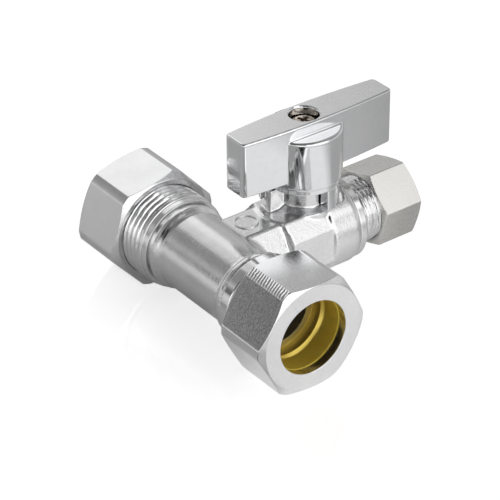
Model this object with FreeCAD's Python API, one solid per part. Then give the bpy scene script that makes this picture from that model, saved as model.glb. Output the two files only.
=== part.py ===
import FreeCAD, Part
import math
import os

# Chrome-plated tee stop valve with three compression ends and a quarter-turn ball valve on its branch.
# Millimetres. The run lies along Y, the branch leaves along +X, and the handle's stem points up along +Z.
# The origin is where the axes of the run and the branch cross. The valve is drawn open.

V = FreeCAD.Vector
AXIS_X = V(1, 0, 0)
AXIS_Y = V(0, 1, 0)
AXIS_Z = V(0, 0, 1)

# How far a cutting shape runs past the face it opens
past = 1.0

# Run tube and the two large compression ends
run_tube_r = 7.95
run_tube_slip = 0.10
run_end_y = 25.75
run_socket_depth = 3.8
run_flow_r = 6.6
run_barrel_r = 8.5
run_back_flare_y = 7.9
run_front_flare_y = 11.7
run_flare_length = 1.1
run_lip_r = 9.4
run_lip_width = 1.2
run_undercut_r = 8.9
run_undercut_width = 0.6
run_shoulder_r = 9.95
run_back_shoulder_width = 1.5
run_front_shoulder_width = 2.4
run_thread_r = 10.25
run_seat_r = 9.3

# Large compression nuts
large_nut_flats = 23.8
large_nut_turned_r = 13.2
large_nut_length = 13.4
large_nut_face_r = 11.7
large_nut_mouth_face_r = 11.5
large_nut_chamfer = 0.8
large_nut_lip = 1.9
large_nut_hole_r = 8.1
large_nut_thread_clearance = 0.10
large_nut_overlap = 5.8
front_nut_turn_out = 0.88
front_nut_angle = -2.5
back_nut_angle = 11.5

# Large brass ferrules
large_ferrule_r = 9.35
large_ferrule_edge_r = 8.35
ferrule_play = 0.06

# Branch tube, outlet adapter and the small compression end
branch_tube_r = 4.76
branch_tube_slip = 0.09
adapter_reach = 20.3
adapter_socket_depth = 6.4
adapter_flow_r = 3.4
adapter_ring_r = 9.15
adapter_ring_width = 1.5
adapter_ring_chamfer = 1.2
adapter_neck_r = 6.6
adapter_neck_width = 0.5
adapter_thread_r = 7.15
adapter_seat_r = 6.0
adapter_screw_r = 6.5
adapter_screw_play = 0.03
adapter_screw_length = 3.2
adapter_end_play = 0.05
adapter_seal_section = 0.7
adapter_seal_play = 0.02

# Small compression nut
small_nut_flats = 15.9
small_nut_length = 10.15
small_nut_face_r = 7.75
small_nut_chamfer = 0.55
small_nut_lip = 1.5
small_nut_hole_r = 4.9
small_nut_thread_clearance = 0.08
small_nut_overlap = 5.0
small_nut_angle = 16.4
small_ferrule_r = 5.75
small_ferrule_edge_r = 5.0

# Ball and seats
stem_x = 22.9
ball_r = 5.5
ball_bore_r = 3.2
ball_slot_width = 2.0
ball_slot_floor = 3.75
chamber_play = 0.4
seat_contact_play = 0.02
seat_contact_angle = 42.0
seat_radial_play = 0.05
seat_rim_r = 5.0
seat_back = 6.3

# Casting between the run and the ball
neck_corner_y = 8.55
neck_shoulder_y = 4.8
neck_shoulder_z = 6.9
neck_plate_half = 4.1
neck_plate_z = 7.25
neck_end_reach = 8.5

# Casting round the ball
chamber_half_width = 8.6
chamber_corner_z = 4.0
chamber_plate_half = 5.35
chamber_plate_z = 7.5
chamber_nose_reach = 10.4
chamber_shoulder_reach = 9.3
chamber_shoulder_y = 4.3
chamber_side_reach = 9.0
chamber_end_reach = 1.5
collar_start_reach = 1.1
collar_r = 9.5
collar_end_r = 9.2
collar_reach = 8.4
collar_end_chamfer = 1.0
spot_face_r = 8.3

# Stem tower and its stop
tower_r = 4.8
tower_top_z = 12.3
tower_foot_r = 6.6
tower_foot_knee_r = 5.25
tower_foot_knee_z = 8.15
tower_foot_top_z = 8.45
stop_near_y = 0.1
stop_width = 3.1
stop_outer_r = 8.5
stop_top_z = 12.4

# Stem
stem_r = 2.75
stem_bore_play = 0.04
stem_disc_r = 3.5
stem_disc_play = 0.02
stem_disc_thickness = 0.75
stem_tongue_play = 0.05
stem_tongue_half_length = 2.4
stem_pocket_play = 0.1
stem_shoulder_z = 13.15
stem_flat_gap = 4.0
stem_top_z = 23.6
stem_fit_play = 0.05
stem_screw_hole_depth = 8.0
thrust_washer_thickness = 0.6
thrust_washer_play = 0.01
o_ring_section = 1.4
o_ring_play = 0.01
o_ring_groove_width = 1.6
o_ring_lower_z = 8.5
o_ring_upper_z = 10.9

# Handle
handle_top_z = 28.0
handle_bottom_z = 15.55
handle_short_reach = 17.8
handle_long_reach = 20.8
handle_end_half_width = 3.05
handle_mid_half_width = 4.1
handle_corner_r = 1.0
handle_edge = 0.3
hub_r = 8.1
hub_top_z = 25.35
hub_bottom_z = 14.25
hub_edge = 0.4
hub_band_r = 7.7
hub_band_bottom_z = 12.9
skirt_r = 7.45
skirt_tower_play = 0.8
skirt_floor_play = 0.65
skirt_stop_play = 0.08
skirt_window_x = 0.5
hub_recess_top_z = 13.2
stop_lug_r = 9.3
stop_lug_bottom_z = 9.0
stop_lug_width = 2.2
screw_pocket_r = 3.1
screw_pocket_floor = 0.8
screw_way_play = 0.25

# Handle screw and its washer
screw_r = 1.5
screw_play = 0.03
screw_length = 6.4
screw_tip_chamfer = 0.4
screw_head_r = 2.7
screw_head_height = 1.6
screw_head_dome = 0.5
screw_head_flat_r = 1.95
screw_recess_width = 0.8
screw_recess_span = 3.0
screw_recess_depth = 0.9
washer_r = 2.95
washer_thickness = 0.5
washer_bore_play = 0.2

large_socket_r = run_tube_r + run_tube_slip
small_socket_r = branch_tube_r + branch_tube_slip
chamber_bore_r = ball_r + chamber_play
seat_r = chamber_bore_r - seat_radial_play
seat_back_x = stem_x - seat_back
adapter_floor_x = stem_x + seat_back
collar_end_x = stem_x + collar_reach
chamber_end_x = stem_x + chamber_end_reach
adapter_end_x = stem_x + adapter_reach
adapter_inner_x = collar_end_x - adapter_screw_length
adapter_seal_r = adapter_screw_r + adapter_seal_section
stem_disc_bottom_z = chamber_bore_r + stem_disc_play
screw_pocket_floor_z = stem_top_z + screw_pocket_floor


def arc(start, middle, end):
    return Part.Arc(start, middle, end).toShape()


def turned(points, axis):
    """A solid of revolution. Each point is (place along the axis, radius)."""
    if axis == "X":
        corners = [V(a, 0, r) for a, r in points]
        direction = AXIS_X
    elif axis == "Y":
        corners = [V(0, a, r) for a, r in points]
        direction = AXIS_Y
    else:
        corners = [V(r, 0, a) for a, r in points]
        direction = AXIS_Z
    face = Part.Face(Part.makePolygon(corners + corners[:1]))
    solid = Part.makeSolid(face.revolve(V(0, 0, 0), direction, 360).Shells[0])
    if solid.Volume < 0:
        solid.reverse()
    return solid


def rod(axis, start, end, radius, x=0.0):
    direction = {"X": AXIS_X, "Y": AXIS_Y, "Z": AXIS_Z}[axis]
    foot = V(x, 0, 0) + direction * start
    return Part.makeCylinder(radius, end - start, foot, direction)


def block(x0, x1, y0, y1, z0, z1):
    return Part.makeBox(x1 - x0, y1 - y0, z1 - z0, V(x0, y0, z0))


def prism(points, depth):
    """Pushes a closed outline of vectors along the vector depth."""
    return Part.Face(Part.makePolygon(points + points[:1])).extrude(depth)


def corner_radius(flats):
    """The circle through the corners of a hexagon of that width across its flats."""
    return flats / (2 * math.cos(math.pi / 6))


def hexagon_along_y(flats, y0, y1, angle):
    corner_r = corner_radius(flats)
    points = []
    for k in range(6):
        a = math.radians(angle + 60 * k)
        points.append(V(corner_r * math.cos(a), y0, corner_r * math.sin(a)))
    return prism(points, V(0, y1 - y0, 0))


def hexagon_along_x(flats, x0, x1, angle):
    corner_r = corner_radius(flats)
    points = []
    for k in range(6):
        a = math.radians(angle + 60 * k)
        points.append(V(x0, -corner_r * math.sin(a), corner_r * math.cos(a)))
    return prism(points, V(x1 - x0, 0, 0))


def plain_ring(inner, outer, low, high, axis):
    return turned([(low, inner), (low, outer), (high, outer), (high, inner)], axis)


def run_profile(sign, flare_y, shoulder_width):
    """The outside of one half of the run, from the middle to the threaded end."""
    lip_y = flare_y + run_flare_length
    lip_end_y = lip_y + run_lip_width
    shoulder_y = lip_end_y + run_undercut_width
    shoulder_end_y = shoulder_y + shoulder_width
    points = [
        (0, 0),
        (0, run_barrel_r),
        (flare_y, run_barrel_r),
        (lip_y, run_lip_r),
        (lip_end_y, run_lip_r),
        (lip_end_y, run_undercut_r),
        (shoulder_y, run_undercut_r),
        (shoulder_y, run_shoulder_r),
        (shoulder_end_y, run_shoulder_r),
        (shoulder_end_y, run_thread_r),
        (run_end_y, run_thread_r),
        (run_end_y, 0),
    ]
    return turned([(sign * a, r) for a, r in points], "Y")


def run_bore(sign):
    """The tube socket, its ferrule seat and half of the waterway through the run."""
    seat_y = run_end_y - (run_seat_r - large_socket_r)
    stop_y = run_end_y - run_socket_depth
    points = [
        (0, 0),
        (0, run_flow_r),
        (stop_y, run_flow_r),
        (stop_y, large_socket_r),
        (seat_y, large_socket_r),
        (run_end_y, run_seat_r),
        (run_end_y + past, run_seat_r),
        (run_end_y + past, 0),
    ]
    return turned([(sign * a, r) for a, r in points], "Y")


def neck():
    """The six-sided neck between the run and the ball chamber, with its flat top plate."""
    upper = [(neck_corner_y, 0), (neck_shoulder_y, neck_shoulder_z), (neck_plate_half, neck_plate_z)]
    upper_right = [V(0, y, z) for y, z in upper]
    upper_left = [V(0, -y, z) for y, z in reversed(upper)]
    lower_left = [V(0, -y, -z) for y, z in upper[1:]]
    lower_right = [V(0, y, -z) for y, z in reversed(upper[1:])]
    outline = upper_right + upper_left + lower_left + lower_right
    return prism(outline, V(stem_x - neck_end_reach, 0, 0))


def ball_chamber():
    """The faceted housing of the ball: rounded towards the run, with a flat top round the stem."""
    corners = [(chamber_half_width, chamber_corner_z), (chamber_plate_half, chamber_plate_z)]
    upper_left = [(-y, z) for y, z in reversed(corners)]
    lower_left = [(-y, -z) for y, z in corners]
    lower_right = [(y, -z) for y, z in reversed(corners)]
    section = [V(0, y, z) for y, z in corners + upper_left + lower_left + lower_right]
    bar = prism(section, V(chamber_end_x, 0, 0))
    low = -chamber_plate_z - past
    shoulder_x = stem_x - chamber_shoulder_reach
    side_x = stem_x - chamber_side_reach
    nose_start = V(shoulder_x, chamber_shoulder_y, low)
    nose_end = V(shoulder_x, -chamber_shoulder_y, low)
    nose = arc(nose_start, V(stem_x - chamber_nose_reach, 0, low), nose_end)
    wide = chamber_half_width + past
    others = [
        nose_end,
        V(side_x, -wide, low),
        V(chamber_end_x, -wide, low),
        V(chamber_end_x, wide, low),
        V(side_x, wide, low),
        nose_start,
    ]
    plan = Part.Face(Part.Wire([nose, Part.makePolygon(others)]))
    return bar.common(plan.extrude(V(0, 0, -2 * low)))


def collar():
    start_x = stem_x + collar_start_reach
    profile = [
        (start_x, 0),
        (start_x, chamber_half_width),
        (chamber_end_x, collar_r),
        (collar_end_x - collar_end_chamfer, collar_r),
        (collar_end_x, collar_end_r),
        (collar_end_x, 0),
    ]
    return turned(profile, "X")


def stem_tower():
    tower = turned(
        [
            (0, 0),
            (0, tower_foot_r),
            (chamber_plate_z, tower_foot_r),
            (tower_foot_knee_z, tower_foot_knee_r),
            (tower_foot_top_z, tower_r),
            (tower_top_z, tower_r),
            (tower_top_z, 0),
        ],
        "Z",
    )
    tower.translate(V(stem_x, 0, 0))
    return tower


def stop_block():
    """The block that ends the handle's quarter turn both ways."""
    far_y = stop_near_y + stop_width
    bar = block(stem_x - stop_outer_r, stem_x - tower_r + past, stop_near_y, far_y, 0, stop_top_z)
    return bar.common(rod("Z", 0, stop_top_z, stop_outer_r, stem_x))


def branch_bore():
    """The waterway from the run, the ball's chamber, the adapter's thread and its seal's groove."""
    water = rod("X", 0, seat_back_x + past, ball_bore_r)
    room = rod("X", seat_back_x, adapter_floor_x, chamber_bore_r)
    screw = rod("X", adapter_inner_x, collar_end_x + past, adapter_screw_r)
    groove = rod("X", collar_end_x - adapter_seal_section, collar_end_x + past, adapter_seal_r)
    return water.fuse([room, screw, groove])


def stem_bore():
    hole = rod("Z", 0, tower_top_z + past, stem_r + stem_bore_play, stem_x)
    pocket_top = stem_disc_bottom_z + stem_disc_thickness + thrust_washer_thickness
    pocket = rod("Z", 0, pocket_top, stem_disc_r + stem_pocket_play, stem_x)
    return hole.fuse(pocket)


def make_body():
    run = run_profile(1, run_back_flare_y, run_back_shoulder_width)
    run = run.fuse(run_profile(-1, run_front_flare_y, run_front_shoulder_width))
    plate_side = neck().cut(rod("Y", -run_end_y, run_end_y, run_flow_r))
    branch = ball_chamber().fuse([collar(), plate_side])
    face_cut = rod("Z", chamber_plate_z, chamber_plate_z + collar_r, spot_face_r, stem_x)
    branch = branch.cut(face_cut)
    whole = run.fuse([branch, stem_tower(), stop_block()])
    whole = whole.cut(run_bore(1).fuse(run_bore(-1)))
    whole = whole.cut(branch_bore())
    return whole.cut(stem_bore()).removeSplitter()


def make_large_nut(sign, face_y, angle):
    """face_y is the outer face's distance from the middle of the run."""
    inner_y = face_y - large_nut_length
    thread_r = run_thread_r + large_nut_thread_clearance
    cone_y = face_y - large_nut_lip - (thread_r - large_nut_hole_r)
    outside = [
        (inner_y, 0),
        (inner_y, large_nut_mouth_face_r),
        (inner_y + large_nut_chamfer, large_nut_turned_r),
        (face_y - large_nut_chamfer, large_nut_turned_r),
        (face_y, large_nut_face_r),
        (face_y, 0),
    ]
    inside = [
        (inner_y - past, 0),
        (inner_y - past, thread_r),
        (cone_y, thread_r),
        (face_y - large_nut_lip, large_nut_hole_r),
        (face_y + past, large_nut_hole_r),
        (face_y + past, 0),
    ]
    blank = turned([(sign * a, r) for a, r in outside], "Y")
    ends = sorted([sign * inner_y, sign * face_y])
    blank = blank.common(hexagon_along_y(large_nut_flats, ends[0], ends[1], angle))
    return blank.cut(turned([(sign * a, r) for a, r in inside], "Y"))


def make_large_ferrule(sign, face_y):
    """A brass ring with a cone at each end, seated under the nut's lip."""
    outer_y = face_y - large_nut_lip - (large_ferrule_edge_r - large_nut_hole_r) - ferrule_play
    tip_y = face_y - large_nut_overlap - (run_seat_r - large_ferrule_edge_r) + ferrule_play
    edge = large_ferrule_r - large_ferrule_edge_r
    points = [
        (outer_y, large_socket_r),
        (outer_y, large_ferrule_edge_r),
        (outer_y - edge, large_ferrule_r),
        (tip_y + edge, large_ferrule_r),
        (tip_y, large_ferrule_edge_r),
        (tip_y, large_socket_r),
    ]
    return turned([(sign * a, r) for a, r in points], "Y")


def make_adapter():
    """Screws into the collar, holds the outer seat and ends in the small compression thread."""
    ring_end_x = collar_end_x + adapter_ring_width
    neck_x = ring_end_x + adapter_ring_chamfer
    thread_x = neck_x + adapter_neck_width
    screw_r_out = adapter_screw_r - adapter_screw_play
    outside = [
        (adapter_inner_x + adapter_end_play, 0),
        (adapter_inner_x + adapter_end_play, screw_r_out),
        (collar_end_x, screw_r_out),
        (collar_end_x, adapter_ring_r),
        (ring_end_x, adapter_ring_r),
        (neck_x, adapter_ring_r - adapter_ring_chamfer),
        (neck_x, adapter_neck_r),
        (thread_x, adapter_neck_r),
        (thread_x, adapter_thread_r),
        (adapter_end_x, adapter_thread_r),
        (adapter_end_x, 0),
    ]
    socket_x = adapter_end_x - adapter_socket_depth
    seat_x = adapter_end_x - (adapter_seat_r - small_socket_r)
    inside = [
        (adapter_inner_x - past, 0),
        (adapter_inner_x - past, chamber_bore_r),
        (adapter_floor_x, chamber_bore_r),
        (adapter_floor_x, adapter_flow_r),
        (socket_x, adapter_flow_r),
        (socket_x, small_socket_r),
        (seat_x, small_socket_r),
        (adapter_end_x, adapter_seat_r),
        (adapter_end_x + past, adapter_seat_r),
        (adapter_end_x + past, 0),
    ]
    return turned(outside, "X").cut(turned(inside, "X"))


def make_adapter_seal():
    """The rubber ring squeezed into the groove behind the adapter's wide ring."""
    inner = adapter_screw_r + adapter_seal_play
    outer = adapter_seal_r - adapter_seal_play
    low = collar_end_x - adapter_seal_section + adapter_seal_play
    high = collar_end_x - adapter_seal_play
    return plain_ring(inner, outer, low, high, "X")


def make_small_nut():
    face_x = adapter_end_x + small_nut_overlap
    inner_x = face_x - small_nut_length
    corner_r = corner_radius(small_nut_flats)
    thread_r = adapter_thread_r + small_nut_thread_clearance
    cone_x = face_x - small_nut_lip - (thread_r - small_nut_hole_r)
    outside = [
        (inner_x, 0),
        (inner_x, small_nut_face_r),
        (inner_x + small_nut_chamfer, corner_r),
        (face_x - small_nut_chamfer, corner_r),
        (face_x, small_nut_face_r),
        (face_x, 0),
    ]
    inside = [
        (inner_x - past, 0),
        (inner_x - past, thread_r),
        (cone_x, thread_r),
        (face_x - small_nut_lip, small_nut_hole_r),
        (face_x + past, small_nut_hole_r),
        (face_x + past, 0),
    ]
    blank = turned(outside, "X")
    blank = blank.common(hexagon_along_x(small_nut_flats, inner_x, face_x, small_nut_angle))
    return blank.cut(turned(inside, "X"))


def make_small_ferrule():
    face_x = adapter_end_x + small_nut_overlap
    outer_x = face_x - small_nut_lip - (small_ferrule_edge_r - small_nut_hole_r) - ferrule_play
    tip_x = adapter_end_x - (adapter_seat_r - small_ferrule_edge_r) + ferrule_play
    edge = small_ferrule_r - small_ferrule_edge_r
    points = [
        (outer_x, small_socket_r),
        (outer_x, small_ferrule_edge_r),
        (outer_x - edge, small_ferrule_r),
        (tip_x + edge, small_ferrule_r),
        (tip_x, small_ferrule_edge_r),
        (tip_x, small_socket_r),
    ]
    return turned(points, "X")


def make_ball():
    mouth = math.sqrt(ball_r ** 2 - ball_bore_r ** 2)
    crown = arc(V(-mouth, 0, ball_bore_r), V(0, 0, ball_r), V(mouth, 0, ball_bore_r))
    bore = Part.makeLine(V(mouth, 0, ball_bore_r), V(-mouth, 0, ball_bore_r))
    ball = Part.Face(Part.Wire([crown, bore])).revolve(V(0, 0, 0), AXIS_X, 360)
    ball = Part.makeSolid(ball.Shells[0])
    if ball.Volume < 0:
        ball.reverse()
    ball.translate(V(stem_x, 0, 0))
    half = ball_slot_width / 2
    slot = block(stem_x - half, stem_x + half, -ball_r, ball_r, ball_slot_floor, ball_r + past)
    return ball.cut(slot)


def make_seat(side):
    """A PTFE ring whose cone the ball turns against. side is -1 towards the run, 1 towards the outlet."""
    a = math.radians(seat_contact_angle)
    touch_r = (ball_r + seat_contact_play) * math.sin(a)
    touch = (ball_r + seat_contact_play) * math.cos(a)
    cone_back = touch + (touch_r - ball_bore_r) * math.tan(a)
    rim = touch - (seat_rim_r - touch_r) * math.tan(a)
    points = [
        (seat_back, ball_bore_r),
        (seat_back, seat_r),
        (rim, seat_r),
        (rim, seat_rim_r),
        (cone_back, ball_bore_r),
    ]
    ring = turned([(side * distance, r) for distance, r in points], "X")
    ring.translate(V(stem_x, 0, 0))
    return ring


def make_stem():
    disc_top = stem_disc_bottom_z + stem_disc_thickness
    groove_r = stem_r + stem_bore_play - o_ring_section
    points = [
        (stem_disc_bottom_z, 0),
        (stem_disc_bottom_z, stem_disc_r),
        (disc_top, stem_disc_r),
        (disc_top, stem_r),
    ]
    for z in (o_ring_lower_z, o_ring_upper_z):
        low = z - o_ring_groove_width / 2
        high = z + o_ring_groove_width / 2
        points += [(low, stem_r), (low, groove_r), (high, groove_r), (high, stem_r)]
    points += [(stem_shoulder_z, stem_r), (stem_top_z, stem_r), (stem_top_z, 0)]
    stem = turned(points, "Z")
    flat = stem_flat_gap / 2
    for side in (-1, 1):
        near, far = sorted([side * flat, side * (stem_r + past)])
        stem = stem.cut(block(-stem_r - past, stem_r + past, near, far, stem_shoulder_z, stem_top_z + past))
    half = ball_slot_width / 2 - stem_tongue_play
    reach = stem_tongue_half_length
    tongue_bottom = ball_slot_floor + stem_tongue_play
    tongue = block(-half, half, -reach, reach, tongue_bottom, disc_top)
    hole = Part.makeCylinder(screw_r, stem_screw_hole_depth, V(0, 0, stem_top_z - stem_screw_hole_depth))
    stem = stem.fuse(tongue).cut(hole)
    stem.translate(V(stem_x, 0, 0))
    return stem


def make_thrust_washer():
    low = stem_disc_bottom_z + stem_disc_thickness
    high = low + thrust_washer_thickness - thrust_washer_play
    ring = plain_ring(stem_r + stem_bore_play, stem_disc_r, low, high, "Z")
    ring.translate(V(stem_x, 0, 0))
    return ring


def make_stem_o_ring(z):
    """A rubber ring, drawn squeezed to the depth of its groove."""
    outer = stem_r + stem_bore_play - o_ring_play
    inner = stem_r + stem_bore_play - o_ring_section + o_ring_play
    half = o_ring_section / 2
    ring = plain_ring(inner, outer, z - half, z + half, "Z")
    ring.translate(V(stem_x, 0, 0))
    return ring


def handle_wing():
    """The bar: bowed sides, rounded upright corners and slightly softened rims."""
    left = -handle_short_reach
    right = handle_long_reach
    end_w = handle_end_half_width
    low = handle_bottom_z
    near_side = arc(V(left, -end_w, low), V(0, -handle_mid_half_width, low), V(right, -end_w, low))
    right_end = Part.makeLine(V(right, -end_w, low), V(right, end_w, low))
    far_side = arc(V(right, end_w, low), V(0, handle_mid_half_width, low), V(left, end_w, low))
    left_end = Part.makeLine(V(left, end_w, low), V(left, -end_w, low))
    outline = Part.Wire([near_side, right_end, far_side, left_end])
    wing = Part.Face(outline).extrude(V(0, 0, handle_top_z - low))
    uprights = [e for e in wing.Edges if abs(e.tangentAt(e.FirstParameter).z) > 0.99]
    wing = wing.makeFillet(handle_corner_r, uprights)
    top_rim = [e for e in wing.Edges if min(v.Z for v in e.Vertexes) > handle_top_z - handle_edge]
    return wing.makeChamfer(handle_edge, top_rim)


def handle_hub():
    """The round boss over the stem, its band, the skirt round the tower and the stop lug."""
    recess_r = tower_r + skirt_tower_play
    hub = turned(
        [
            (hub_bottom_z, 0),
            (hub_bottom_z, hub_r),
            (hub_top_z - hub_edge, hub_r),
            (hub_top_z, hub_r - hub_edge),
            (hub_top_z, 0),
        ],
        "Z",
    )
    band = rod("Z", hub_band_bottom_z, hub_bottom_z + hub_edge, hub_band_r)
    skirt_bottom = chamber_plate_z + skirt_floor_play
    skirt = rod("Z", skirt_bottom, hub_bottom_z, skirt_r)
    window_y = stop_near_y + stop_width + skirt_stop_play
    far = -skirt_r - past
    window = block(far, skirt_window_x, far, window_y, skirt_bottom - past, hub_band_bottom_z)
    lug_top_z = handle_bottom_z + past
    lug = block(-stop_lug_r, 0, window_y, window_y + stop_lug_width, stop_lug_bottom_z, lug_top_z)
    lug = lug.common(rod("Z", stop_lug_bottom_z, lug_top_z, stop_lug_r))
    whole = hub.fuse([band, skirt.cut(window), lug])
    return whole.cut(rod("Z", skirt_bottom - past, hub_recess_top_z, recess_r))


def make_handle():
    handle = handle_wing().fuse(handle_hub())
    socket = rod("Z", hub_band_bottom_z, stem_top_z + stem_fit_play, stem_r + stem_fit_play)
    half = stem_flat_gap / 2 + stem_fit_play
    reach = stem_r + past
    socket = socket.common(block(-reach, reach, -half, half, 0, handle_top_z))
    screw_way = rod("Z", stem_top_z - past, screw_pocket_floor_z + past, screw_r + screw_way_play)
    pocket = rod("Z", screw_pocket_floor_z, handle_top_z + past, screw_pocket_r)
    handle = handle.cut(socket.fuse([screw_way, pocket])).removeSplitter()
    handle.translate(V(stem_x, 0, 0))
    return handle


def make_screw_washer():
    top = screw_pocket_floor_z + washer_thickness
    ring = plain_ring(screw_r + washer_bore_play, washer_r, screw_pocket_floor_z, top, "Z")
    ring.translate(V(stem_x, 0, 0))
    return ring


def make_screw():
    under_head_z = screw_pocket_floor_z + washer_thickness
    head_top = under_head_z + screw_head_height
    tip_z = under_head_z - screw_length
    shank_r = screw_r - screw_play
    points = [
        (tip_z, 0),
        (tip_z, shank_r - screw_tip_chamfer),
        (tip_z + screw_tip_chamfer, shank_r),
        (under_head_z, shank_r),
        (under_head_z, screw_head_r),
        (head_top - screw_head_dome, screw_head_r),
        (head_top, screw_head_flat_r),
        (head_top, 0),
    ]
    screw = turned(points, "Z")
    half = screw_recess_width / 2
    span = screw_recess_span / 2
    floor = head_top - screw_recess_depth
    cross = block(-half, half, -span, span, floor, head_top + past)
    cross = cross.fuse(block(-span, span, -half, half, floor, head_top + past))
    screw = screw.cut(cross)
    screw.translate(V(stem_x, 0, 0))
    return screw


tight_face_y = run_end_y + large_nut_overlap
front_face_y = tight_face_y + front_nut_turn_out

pieces = {
    "body": make_body(),
    "outlet_adapter": make_adapter(),
    "adapter_o_ring": make_adapter_seal(),
    "ball": make_ball(),
    "inner_seat": make_seat(-1),
    "outer_seat": make_seat(1),
    "stem": make_stem(),
    "stem_thrust_washer": make_thrust_washer(),
    "stem_o_ring_lower": make_stem_o_ring(o_ring_lower_z),
    "stem_o_ring_upper": make_stem_o_ring(o_ring_upper_z),
    "handle": make_handle(),
    "handle_screw": make_screw(),
    "handle_screw_washer": make_screw_washer(),
    "front_nut": make_large_nut(-1, front_face_y, front_nut_angle),
    "front_ferrule": make_large_ferrule(-1, front_face_y),
    "back_nut": make_large_nut(1, tight_face_y, back_nut_angle),
    "back_ferrule": make_large_ferrule(1, tight_face_y),
    "branch_nut": make_small_nut(),
    "branch_ferrule": make_small_ferrule(),
}

os.makedirs("parts", exist_ok=True)
for name, shape in pieces.items():
    shape.exportStep("parts/" + name + ".step")
    print(name, "valid", shape.isValid(), "solids", len(shape.Solids), "volume", round(shape.Volume, 1))
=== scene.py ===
import bpy
import bmesh
import math
from mathutils import Matrix, Vector


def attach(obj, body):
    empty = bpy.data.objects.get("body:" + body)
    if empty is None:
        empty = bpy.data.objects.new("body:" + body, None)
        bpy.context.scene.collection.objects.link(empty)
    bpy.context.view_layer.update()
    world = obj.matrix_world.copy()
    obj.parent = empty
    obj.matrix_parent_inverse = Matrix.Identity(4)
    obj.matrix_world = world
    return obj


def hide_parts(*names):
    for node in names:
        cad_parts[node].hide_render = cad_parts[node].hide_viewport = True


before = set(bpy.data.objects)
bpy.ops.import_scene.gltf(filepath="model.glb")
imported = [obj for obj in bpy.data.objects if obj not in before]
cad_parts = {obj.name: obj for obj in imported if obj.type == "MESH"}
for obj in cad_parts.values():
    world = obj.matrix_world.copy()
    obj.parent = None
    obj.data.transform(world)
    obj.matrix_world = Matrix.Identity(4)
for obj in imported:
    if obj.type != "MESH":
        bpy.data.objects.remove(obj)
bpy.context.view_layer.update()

# Everything below is in millimetres and degrees. It becomes metres when a mesh is made.
MM = 0.001
FLOOR_Z = -12.85
WELD = 0.0002
SHARP_ANGLE = 32

# How far a face has to look in, out or up to count as doing so, from 0 to 1
LOOKS_IN = 0.1
LOOKS_OUT = 0.5
LOOKS_UP = 0.97

# Grain of the cast skins, and how many rows a thread's pitch has
CASTING_GRAIN = 0.25
HANDLE_GRAIN = 0.16
THREAD_ROWS = 13
NUT_THREAD_ROWS = 9

# How many steps a turned form has
NUT_STEPS = 384
FINE_STEPS = 192
FORM_STEPS = 160
BORE_STEPS = 128
SMALL_STEPS = 96
HOLE_STEPS = 64

# The run and its two large compression ends
RUN_R = 8.5
RUN_BORE_R = 6.6
RUN_SOCKET_R = 8.05
RUN_SOCKET_Y = 21.95
RUN_END_Y = 25.75
RUN_THREAD_R = 10.25
RUN_SHOULDER_R = 9.95
RUN_GROOVE_R = 8.9
RUN_GROOVE_WIDTH = 0.6
RUN_LIP_R = 9.4
RUN_LIP_WIDTH = 1.2
RUN_FLARE_LENGTH = 1.1
FRONT_FLARE_Y = 11.7
FRONT_SHOULDER_WIDTH = 2.4
BACK_FLARE_Y = 7.9
BACK_SHOULDER_WIDTH = 1.5
RUN_SEAT_R = 9.3
RUN_SEAT_BOTTOM_Y = 24.5
LARGE_PITCH = 25.4 / 18
LARGE_THREAD_DEPTH = 0.78

# The branch's casting: each corner of a section is (y, z)
STEM_X = 22.9
NECK_LENGTH = 14.4
CAST_RING_X = 8.4
CAST_RING_Y = 0.5
NECK_SIDE = (8.55, 0)
NECK_SHOULDER = (4.8, 6.9)
NECK_TOP = (4.1, 7.25)
CHAMBER_SIDE = (8.6, 4.0)
CHAMBER_TOP = (5.35, 7.5)
CHAMBER_NOSE_X = 12.5
CHAMBER_NOSE_HALF = 4.3
CHAMBER_NOSE_BOW = 1.1
CHAMBER_CHEEK_X = 13.9
COLLAR_START_X = 24.0
COLLAR_END_X = 31.3
COLLAR_R = 9.5
COLLAR_CUT_R = 8.3
COLLAR_CUT_Z = 7.5
TOWER_R = 4.8
TOWER_FOOT_R = 6.6
TOWER_FOOT_Z = 7.5
TOWER_TOP_Z = 12.3
STOP_R = 8.5
STOP_INNER_R = 3.8
STOP_SIDE_Y = 3.2
STOP_BOTTOM_Z = 4
STOP_HEIGHT = 8.4

# Its bores
WATERWAY_R = 3.2
CHAMBER_BORE_R = 5.9
CHAMBER_BORE_START_X = 16.6
COLLAR_BORE_R = 6.5
COLLAR_BORE_START_X = 28.1
SEAL_ROOM_R = 7.2
SEAL_ROOM_START_X = 30.6
STEM_BORE_R = 2.79
STEM_SHOULDER_R = 3.6
STEM_SHOULDER_Z = 7.27

# The outlet adapter
ADAPTER_PLUG_R = 6.47
ADAPTER_FLANGE_R = 9.15
ADAPTER_NECK_R = 6.6
ADAPTER_SOCKET_R = 4.85
ADAPTER_SOCKET_X = 36.8
ADAPTER_BORE_R = 3.4
ADAPTER_INNER_X = 28.2
ADAPTER_SEAT_X = 29.2
ADAPTER_THREAD_R = 7.15
ADAPTER_THREAD_START_X = 34.5
ADAPTER_END_X = 43.2
SMALL_PITCH = 25.4 / 24
SMALL_THREAD_DEPTH = 0.55

# Nuts
LARGE_NUT_LENGTH = 13.4
LARGE_NUT_FLATS = 23.8
LARGE_NUT_CORNER_R = 13.2
LARGE_NUT_THREAD_R = 10.35
LARGE_NUT_HOLE_R = 8.1
FRONT_NUT_FACE_Y = 32.43
FRONT_NUT_CORNER_ANGLE = -2.5
BACK_NUT_FACE_Y = 31.55
BACK_NUT_CORNER_ANGLE = -11.5
SMALL_NUT_LENGTH = 10.15
SMALL_NUT_FLATS = 15.9
SMALL_NUT_THREAD_R = 7.23
SMALL_NUT_HOLE_R = 4.9
SMALL_NUT_FACE_X = 48.2
SMALL_NUT_CORNER_ANGLE = 16.4

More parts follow.
